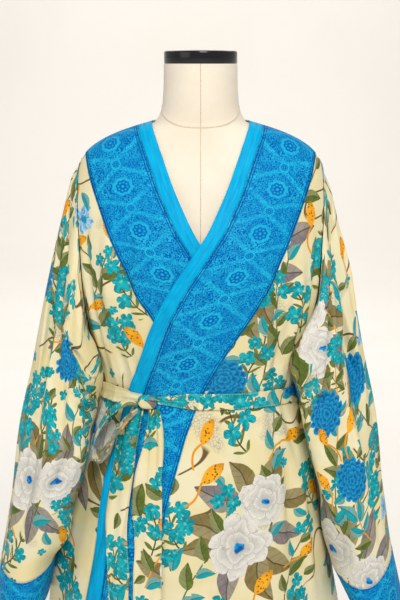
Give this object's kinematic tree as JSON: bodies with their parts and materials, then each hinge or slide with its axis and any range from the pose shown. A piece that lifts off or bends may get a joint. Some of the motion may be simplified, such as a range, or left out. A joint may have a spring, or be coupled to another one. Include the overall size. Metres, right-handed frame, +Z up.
{
  "type": "kimono robe on dress form",
  "caption": "Long-sleeved wrap kimono robe in floral satin with wide blue borders and a tied sash, worn by a limbless dress form on a pole and round base.",
  "frame": {"origin": "middle of the base's underside, on the floor", "axes": "+Z up along the pole; the front faces -Y and the wearer's left is at +X"},
  "size_m": [0.6875, 0.4096, 1.4973],
  "materials": {
    "print": "soft satin with a floral print",
    "border": "soft satin with a traditional medallion print",
    "band": "plain soft satin",
    "form": "matt stretched cloth",
    "cap": "gloss",
    "metal": "satin black paint"
  },
  "bodies": {
    "root": {"stand_base": "metal", "stand_pole": "metal", "form_torso": "form", "neck_cap": "cap", "robe_front_left": "print", "robe_front_right": "print", "robe_back": "print", "border_left": "border", "border_right": "border", "neckband_left": "band", "neckband_right": "band", "neckband_back": "band", "sleeve_left": "print", "sleeve_right": "print", "cuff_left": "border", "cuff_right": "border", "sash_waist": "print", "sash_knot": "print", "sash_tail_right": "print", "sash_tail_left": "print", "sash_loop": "print"}
  },
  "joints": []
}
